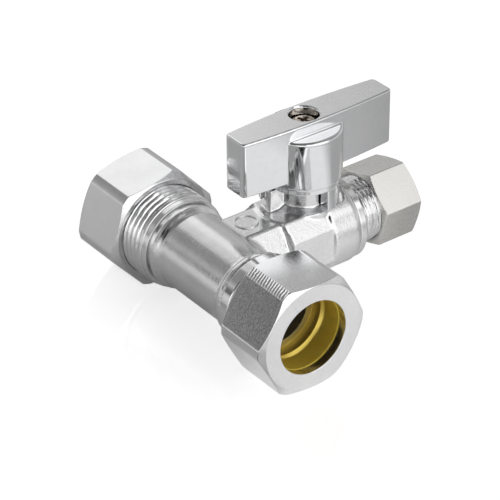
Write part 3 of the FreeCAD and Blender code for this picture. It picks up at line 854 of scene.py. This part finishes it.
def make_outlet_adapter():
    """The turned piece that closes the ball's room and carries the small thread."""
    row = SMALL_PITCH / THREAD_ROWS
    neck = 34.0
    corners = [
        (ADAPTER_INNER_X, 5.9), (ADAPTER_INNER_X, ADAPTER_PLUG_R, 0.05), (COLLAR_END_X, ADAPTER_PLUG_R),
        (COLLAR_END_X, ADAPTER_FLANGE_R, 0.2), (COLLAR_END_X + 1.5, ADAPTER_FLANGE_R, 0.15),
        (neck, 7.95, 0.12), (neck, ADAPTER_NECK_R), (ADAPTER_THREAD_START_X, ADAPTER_NECK_R),
        (ADAPTER_THREAD_START_X + 0.1, ADAPTER_THREAD_R, 0, row),
        (ADAPTER_END_X - 0.35, ADAPTER_THREAD_R, 0, 0.1),
        (ADAPTER_END_X, 6.45), (ADAPTER_END_X, 6.0, 0, 0.3), (ADAPTER_END_X - 1.15, ADAPTER_SOCKET_R, 0.05),
        (ADAPTER_SOCKET_X, ADAPTER_SOCKET_R, 0.05), (ADAPTER_SOCKET_X, ADAPTER_BORE_R, 0.1),
        (ADAPTER_SEAT_X, ADAPTER_BORE_R), (ADAPTER_SEAT_X, 5.9),
    ]
    adapter = placed("outlet_adapter_turned", lathe(corners, FINE_STEPS))
    sizes = {"Pitch": SMALL_PITCH * MM, "Depth": SMALL_THREAD_DEPTH * MM, "Radius": ADAPTER_THREAD_R * MM,
             "First": ADAPTER_THREAD_START_X * MM, "Last": ADAPTER_END_X * MM}
    shape_with(adapter, THREAD_TREE, sizes, TURNED_BRANCH)
    adapter.data.transform(ALONG_X)
    finish_shading(adapter)
    dress(adapter, "valve_body", "turned_chrome", ["outlet_adapter"])


# Nuts and ferrules

def make_nut(name, corners, flats, corner_angle, softness, thread_r, pitch, depth, thread_end, material):
    """A hexagon nut about Z, its mouth at 0. Its thread is cut outwards, by a negative depth."""
    nut = placed(name, lathe(corners, NUT_STEPS))
    milling = {"Across flats": flats * MM, "Corner angle": math.radians(corner_angle),
               "Softness": softness * MM}
    shape_with(nut, HEXAGON_TREE, milling, material)
    threading = {"Pitch": pitch * MM, "Depth": -depth * MM, "Radius": thread_r * MM, "First": 0.4 * MM,
                 "Last": thread_end * MM}
    shape_with(nut, THREAD_TREE, threading, material)
    return nut


def make_large_nut(name, body, node, face_y, turn, corner_angle, material):
    """One of the run's nuts: mouth, milled outside, face with its hole, and the inside to the thread."""
    length = LARGE_NUT_LENGTH
    edge = 0.8
    corners = [
        (0, LARGE_NUT_THREAD_R, 0.08), (0, 11.5, 0.12, 0.08),
        (edge, LARGE_NUT_CORNER_R, 0.15, 1.6), (length - edge, LARGE_NUT_CORNER_R, 0.15, 0.08),
        (length, 11.7, 0.12, 0.9), (length, LARGE_NUT_HOLE_R, 0.22, 0.6),
        (length - 1.9, LARGE_NUT_HOLE_R, 0.1, 0.6),
        (length - 4.15, LARGE_NUT_THREAD_R, 0, LARGE_PITCH / NUT_THREAD_ROWS),
    ]
    nut = make_nut(name, corners, LARGE_NUT_FLATS, corner_angle, 0.11, LARGE_NUT_THREAD_R, LARGE_PITCH, 0.5,
                   length - 4.4, material)
    nut.data.transform(turn @ Matrix.Translation((0, 0, (face_y - length) * MM)))
    finish_shading(nut)
    dress(nut, body, "large_nut_chrome", [node])


def make_branch_nut():
    """The branch's smaller nut, made as the run's are."""
    length = SMALL_NUT_LENGTH
    corner_r = SMALL_NUT_FLATS / (2 * math.cos(math.pi / 6))
    edge = 0.55
    chamfer_r = 7.75
    corners = [
        (0, SMALL_NUT_THREAD_R, 0.06), (0, chamfer_r, 0.1, 0.06),
        (edge, corner_r, 0.1, 1.4), (length - edge, corner_r, 0.1, 0.06),
        (length, chamfer_r, 0.1, 0.7), (length, SMALL_NUT_HOLE_R, 0.15, 0.5),
        (length - 1.5, SMALL_NUT_HOLE_R, 0.1, 0.5),
        (length - 3.83, SMALL_NUT_THREAD_R, 0, SMALL_PITCH / NUT_THREAD_ROWS),
    ]
    nut = make_nut("branch_nut_hexagon", corners, SMALL_NUT_FLATS, SMALL_NUT_CORNER_ANGLE, 0.16,
                   SMALL_NUT_THREAD_R, SMALL_PITCH, 0.35, length - 4.0, SATIN_NUT)
    nut.data.transform(ALONG_X @ Matrix.Translation((0, 0, (SMALL_NUT_FACE_X - length) * MM)))
    finish_shading(nut)
    dress(nut, "branch_nut_body", "small_nut_chrome", ["branch_nut"])


def make_ferrule(name, body, node, turn, outer, size, material):
    """A brass ring, coned at both ends, from its outer end back to its tip."""
    length, radius, edge, bore = size
    tip = outer - length
    slope = radius - edge
    corners = [
        (outer, bore, 0.15), (outer, edge, 0.06), (outer - slope, radius, 0.2), (tip + slope, radius, 0.2),
        (tip, edge, 0.06), (tip, bore, 0.06, 0.5),
    ]
    ring = placed(name, lathe(corners, FINE_STEPS), turn)
    finish_shading(ring)
    dress(ring, body, "ferrule_brass", [node], material)


# The handle and what holds it

def wing_outline(inset, z):
    """The bar in plan, with bowed sides and rounded ends, drawn in by inset."""
    left = -HANDLE_SHORT_REACH + inset
    right = HANDLE_LONG_REACH - inset
    end_w = HANDLE_END_HALF_WIDTH - inset
    mid_w = HANDLE_MID_HALF_WIDTH - inset
    bend = HANDLE_CORNER_R - inset
    steps = 28
    corner_steps = 6

    def side(x):
        reach = right if x > 0 else left
        return end_w + (mid_w - end_w) * (1 - (x / reach) ** 2)

    def corner(x, y, first):
        arc = []
        for k in range(corner_steps + 1):
            a = math.radians(first + 90 * k / corner_steps)
            arc.append((x + bend * math.cos(a), y + bend * math.sin(a), z))
        return arc

    near_x = [left + bend + (right - left - 2 * bend) * k / steps for k in range(1, steps)]
    loop = corner(left + bend, -side(left + bend) + bend, 180)
    loop += [(x, -side(x), z) for x in near_x]
    loop += corner(right - bend, -side(right - bend) + bend, 270)
    loop += corner(right - bend, side(right - bend) - bend, 0)
    loop += [(x, side(x), z) for x in reversed(near_x)]
    loop += corner(left + bend, side(left + bend) - bend, 90)
    return loop


def wing_form():
    """The bar, its upper and lower edges eased by the inset of its end levels."""
    edge = 0.3
    ease = 0.09
    levels = [(HANDLE_BOTTOM_Z, edge), (HANDLE_BOTTOM_Z + ease, ease), (HANDLE_BOTTOM_Z + edge, 0),
              (HANDLE_TOP_Z - edge, 0), (HANDLE_TOP_Z - ease, ease), (HANDLE_TOP_Z, edge)]
    return stacked([wing_outline(inset, z) for z, inset in levels])


def hub_form():
    """The round hub under the bar, with the narrower band at its foot."""
    rows = [(BAND_BOTTOM_Z, BAND_R, 0.1), (BAND_TOP_Z, BAND_R, 0.1), (BAND_TOP_Z, HUB_R, 0.15),
            (HUB_TOP_Z, HUB_R, 0.6)]
    return solid_lathe(rows, FINE_STEPS)


def skirt_form():
    """The skirt round the tower, open over the quarter that the stop needs."""
    ring = placed("skirt", solid_lathe([(SKIRT_BOTTOM_Z, SKIRT_R), (13.5, SKIRT_R)], FORM_STEPS))
    cut(ring, block(-9, 0.5, -9, LUG_NEAR_Y, 7, BAND_BOTTOM_Z))
    return taken(ring)


def lug_form():
    """The stop lug that stands out from the skirt."""
    bar = placed("lug", block(-LUG_R, 0, LUG_NEAR_Y, LUG_FAR_Y, LUG_BOTTOM_Z, HANDLE_BOTTOM_Z + 1))
    combine(bar, placed("disc", solid_lathe([(8.9, LUG_R), (17, LUG_R)], FORM_STEPS)), "INTERSECT")
    return taken(bar)


def bore_handle(handle):
    """The room for the tower, the stem's flatted socket, the screw's way and the pocket of its head."""
    cut(handle, solid_lathe([(7, SKIRT_RECESS_R), (SKIRT_RECESS_TOP_Z, SKIRT_RECESS_R)], BORE_STEPS))
    socket_rows = [(12, STEM_SOCKET_R), (STEM_SOCKET_TOP_Z, STEM_SOCKET_R)]
    socket = placed("socket", solid_lathe(socket_rows, SMALL_STEPS))
    flats = placed("flats", block(-4, 4, -STEM_SOCKET_HALF, STEM_SOCKET_HALF, 11, 25))
    combine(socket, flats, "INTERSECT")
    combine(handle, socket, "DIFFERENCE")
    cut(handle, solid_lathe([(22, SCREW_WAY_R), (26, SCREW_WAY_R)], HOLE_STEPS))
    mouth = POCKET_R + 0.4
    cut(handle, solid_lathe([(POCKET_FLOOR_Z, POCKET_R), (HANDLE_TOP_Z - 0.3, POCKET_R, 0.2),
                             (HANDLE_TOP_Z + 0.1, mouth), (30, mouth)], BORE_STEPS))


def make_handle():
    """The lever: bar, hub, skirt and lug as one casting, polished but for its satin top."""
    forms = [wing_form(), hub_form(), skirt_form(), lug_form()]
    handle = cast_skin("lever_handle", forms, HANDLE_GRAIN, 4)
    bore_handle(handle)
    handle.data.transform(AT_STEM)
    weld(handle)
    finish_shading(handle)
    dress(handle, "handle_group", "handle_chrome", ["handle"], POLISHED, HANDLE_TOP)
    top = (HANDLE_TOP_Z - 0.05) * MM
    for face in handle.data.polygons:
        face.material_index = 1 if face.normal.z > LOOKS_UP and face.center.z > top else 0


def make_handle_screw():
    """The pan-headed screw with its cross recess."""
    top = SCREW_TOP_Z
    span = CROSS_HALF_SPAN
    half = CROSS_HALF_WIDTH
    floor = top - CROSS_DEPTH
    rows = [(SCREW_END_Z, 1.07), (SCREW_END_Z + 0.4, SCREW_SHANK_R), (SCREW_HEAD_BOTTOM_Z, SCREW_SHANK_R),
            (SCREW_HEAD_BOTTOM_Z, SCREW_HEAD_R, 0.1), (top - 0.5, SCREW_HEAD_R, 0.15),
            (top - 0.12, 2.25, 0.3), (top, 1.6, 0.3)]
    screw = placed("pan_screw", solid_lathe(rows, BORE_STEPS))
    cross = placed("cross", block(-half, half, -span, span, floor, top + 1))
    combine(cross, placed("cross_arm", block(-span, span, -half, half, floor, top + 1)), "UNION")
    cross.data.transform(Matrix.Rotation(math.radians(CROSS_ANGLE), 4, "Z"))
    combine(screw, cross, "DIFFERENCE")
    screw.data.transform(AT_STEM)
    finish_shading(screw)
    dress(screw, "handle_group", "screw_nickel", ["handle_screw"], NICKEL)


def make_screw_washer():
    """The flat washer on the pocket's floor."""
    top = POCKET_FLOOR_Z + WASHER_THICKNESS
    corners = [(POCKET_FLOOR_Z, WASHER_HOLE_R, 0.05), (POCKET_FLOOR_Z, WASHER_R, 0.1), (top, WASHER_R, 0.1),
               (top, WASHER_HOLE_R, 0.05)]
    washer = placed("screw_washer_ring", lathe(corners, BORE_STEPS), AT_STEM)
    finish_shading(washer)
    dress(washer, "handle_group", "screw_nickel", ["handle_screw_washer"], NICKEL)


# The studio

CAMERA_AZIMUTH = -36.871
CAMERA_ELEVATION = 32.522
CAMERA_ROLL = -0.446
CAMERA_AWAY = 496.677
CAMERA_RIGHT = 7.126
CAMERA_UP = 3.367
CAMERA_LENS = 174.77
CAMERA_SENSOR = 36.0


def make_camera():
    """The view of the photograph: from the front left and above, through a long lens."""
    azimuth = math.radians(CAMERA_AZIMUTH)
    elevation = math.radians(CAMERA_ELEVATION)
    roll = math.radians(CAMERA_ROLL)
    back = Vector((math.sin(azimuth) * math.cos(elevation),
                   -math.cos(azimuth) * math.cos(elevation),
                   math.sin(elevation)))
    level_right = (-back).cross(Vector((0, 0, 1))).normalized()
    level_up = level_right.cross(-back)
    right = level_right * math.cos(roll) + level_up * math.sin(roll)
    up = level_up * math.cos(roll) - level_right * math.sin(roll)
    place = (back * CAMERA_AWAY + right * CAMERA_RIGHT + up * CAMERA_UP) * MM
    turn = Matrix((right, up, back)).transposed().to_4x4()
    data = bpy.data.cameras.new("camera")
    data.sensor_width = CAMERA_SENSOR
    data.lens = CAMERA_LENS
    data.clip_start = 0.01
    camera = bpy.data.objects.new("camera", data)
    camera.matrix_world = Matrix.Translation(place) @ turn
    bpy.context.scene.collection.objects.link(camera)
    bpy.context.scene.camera = camera


# The table: what is added to it for the camera, and the light and dark patches that the metal mirrors
TABLE_WHITE = 0.67
GLOW_X = 14
GLOW_Y = -46
GLOW_R = 32
GLOW_SOFT = 20
GLOW_STRENGTH = 0.36
SHADE_X = -22
SHADE_Y = -44
SHADE_R = 14
SHADE_SOFT = 6
TABLE_HALF = 900
TABLE_TONE = (0.80, 0.80, 0.80)
SHADE_TONE = (0.02, 0.02, 0.02)


def floor_patch(tree, parts, x, y, radius, soft):
    """1 inside a round patch of the table, fading to 0 over the soft width."""
    off_x = calc(tree, "SUBTRACT", parts.outputs[0], x * MM)
    off_y = calc(tree, "SUBTRACT", parts.outputs[1], y * MM)
    squares = [calc(tree, "MULTIPLY", off, off) for off in (off_x, off_y)]
    away = calc(tree, "SQRT", calc(tree, "ADD", *squares))
    return spread(tree, away, 1, 0, radius * MM, (radius + soft) * MM)


def seen_directly(tree, path):
    """1 for what the camera sees itself or through something clear, 0 for what lights or is mirrored."""
    return calc(tree, "MAXIMUM", path.outputs["Is Camera Ray"], path.outputs["Is Transmission Ray"])


def make_floor():
    """A white glossy table. The camera sees it near white, and it takes the shadow."""
    mesh = block(-TABLE_HALF, TABLE_HALF, -TABLE_HALF, TABLE_HALF, 0, -5)
    floor = placed("floor", mesh, Matrix.Translation((0, 0, FLOOR_Z * MM)))
    mat, tree, shader, where = base_material("white_table")
    shader.inputs["IOR"].default_value = 1.65
    haze = noise(tree, where, 25, 2.0)
    tree.links.new(spread(tree, haze, 0.05, 0.09), shader.inputs["Roughness"])
    shader.inputs["Emission Color"].default_value = (1, 1, 1, 1)
    parts = tree.nodes.new("ShaderNodeSeparateXYZ")
    tree.links.new(where, parts.inputs[0])
    glow = floor_patch(tree, parts, GLOW_X, GLOW_Y, GLOW_R, GLOW_SOFT)
    glow = calc(tree, "MULTIPLY", glow, GLOW_STRENGTH)
    path = tree.nodes.new("ShaderNodeLightPath")
    shade = floor_patch(tree, parts, SHADE_X, SHADE_Y, SHADE_R, SHADE_SOFT)
    shade = calc(tree, "MULTIPLY", shade, path.outputs["Is Glossy Ray"])
    tree.links.new(tint(tree, shade, TABLE_TONE, SHADE_TONE), shader.inputs["Base Color"])
    white = calc(tree, "MULTIPLY", seen_directly(tree, path), TABLE_WHITE)
    mirrored = calc(tree, "MULTIPLY", path.outputs["Is Glossy Ray"], glow)
    tree.links.new(calc(tree, "ADD", white, mirrored), shader.inputs["Emission Strength"])
    floor.data.materials.append(mat)


# The sky's brightness at the horizon and high up, and the cards of the studio over it: azimuth, elevation,
# half width, half height and softness in degrees, then brightness
LOW_SKY = 0.75
HIGH_SKY = 0.17
HIGH_SKY_ELEVATION = 60
CARDS = [
    (-102, 12, 39, 26, 13, 1.42),
    (-66, 43, 19, 10, 10, 1.36),
    (79, 34, 20.5, 9, 9, 1.08),
    (127, 43, 22, 10, 9, 0.28),
    (141, 16, 5, 5, 4, 0.08),
    (-144, 35, 21, 13, 6, 0.02),
    (-23, 64, 20, 8, 9, 0.62),
    (61, 4, 44, 5, 8, 0.43),
]


def make_world():
    """A studio of soft cards round the object. The camera sees plain white behind it."""
    world = bpy.data.worlds.new("studio")
    bpy.context.scene.world = world
    world.use_nodes = True
    tree = world.node_tree
    place = tree.nodes.new("ShaderNodeTexCoord")
    parts = tree.nodes.new("ShaderNodeSeparateXYZ")
    tree.links.new(place.outputs["Generated"], parts.inputs[0])
    x, y, z = parts.outputs
    azimuth = calc(tree, "DEGREES", calc(tree, "ARCTAN2", y, x))
    elevation = calc(tree, "DEGREES", calc(tree, "ARCSINE", z))
    level = spread(tree, elevation, LOW_SKY, HIGH_SKY, 0, HIGH_SKY_ELEVATION)
    for card_az, card_el, half_az, half_el, soft, bright in CARDS:
        around = calc(tree, "WRAP", calc(tree, "SUBTRACT", azimuth, card_az), 180, -180)
        off_az = calc(tree, "ABSOLUTE", around)
        off_el = calc(tree, "ABSOLUTE", calc(tree, "SUBTRACT", elevation, card_el))
        inside = []
        for off, half in ((off_az, half_az), (off_el, half_el)):
            edge = tree.nodes.new("ShaderNodeMapRange")
            edge.interpolation_type = "SMOOTHSTEP"
            edge.inputs["From Min"].default_value = half + soft
            edge.inputs["From Max"].default_value = half
            tree.links.new(off, edge.inputs["Value"])
            inside.append(edge.outputs[0])
        mask = calc(tree, "MULTIPLY", *inside)
        change = calc(tree, "MULTIPLY", mask, calc(tree, "SUBTRACT", bright, level))
        level = calc(tree, "ADD", level, change)
    path = tree.nodes.new("ShaderNodeLightPath")
    white = calc(tree, "MULTIPLY", seen_directly(tree, path), calc(tree, "SUBTRACT", 1.0, level))
    sky = tree.nodes["Background"]
    sky.inputs["Color"].default_value = (1, 1, 1, 1)
    tree.links.new(calc(tree, "ADD", level, white), sky.inputs["Strength"])


make_casting()
make_run_end("run_end_front", FRONT_FLARE_Y, FRONT_SHOULDER_WIDTH, ALONG_FRONT)
make_run_end("run_end_back", BACK_FLARE_Y, BACK_SHOULDER_WIDTH, ALONG_BACK)
make_cast_ring()
make_outlet_adapter()
make_large_nut("front_nut_hexagon", "front_nut_body", "front_nut", FRONT_NUT_FACE_Y, ALONG_FRONT,
               FRONT_NUT_CORNER_ANGLE, FRONT_NUT)
make_large_nut("back_nut_hexagon", "back_nut_body", "back_nut", BACK_NUT_FACE_Y, ALONG_BACK,
               BACK_NUT_CORNER_ANGLE, BACK_NUT)
make_branch_nut()
make_ferrule("front_ferrule_turned", "front_ferrule_ring", "front_ferrule", ALONG_FRONT,
             FRONT_FERRULE_Y, LARGE_FERRULE, FERRULE)
make_ferrule("back_ferrule_turned", "back_ferrule_ring", "back_ferrule", ALONG_BACK,
             BACK_FERRULE_Y, LARGE_FERRULE, FERRULE)
make_ferrule("branch_ferrule_turned", "branch_ferrule_ring", "branch_ferrule", ALONG_X,
             BRANCH_FERRULE_X, SMALL_FERRULE_SIZE, SMALL_FERRULE)
make_handle()
make_handle_screw()
make_screw_washer()

# Pieces that keep their solids' own meshes
PLAIN_PIECES = {
    "adapter_o_ring": RUBBER, "ball": BALL, "inner_seat": SEAT, "outer_seat": SEAT, "stem": STEM_BRASS,
    "stem_thrust_washer": SEAT, "stem_o_ring_lower": RUBBER, "stem_o_ring_upper": RUBBER,
}
for node, material in PLAIN_PIECES.items():
    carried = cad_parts[node]
    carried.data.materials.clear()
    carried.data.materials.append(material)

make_camera()
make_floor()
make_world()
bpy.context.scene.view_settings.view_transform = "Standard"
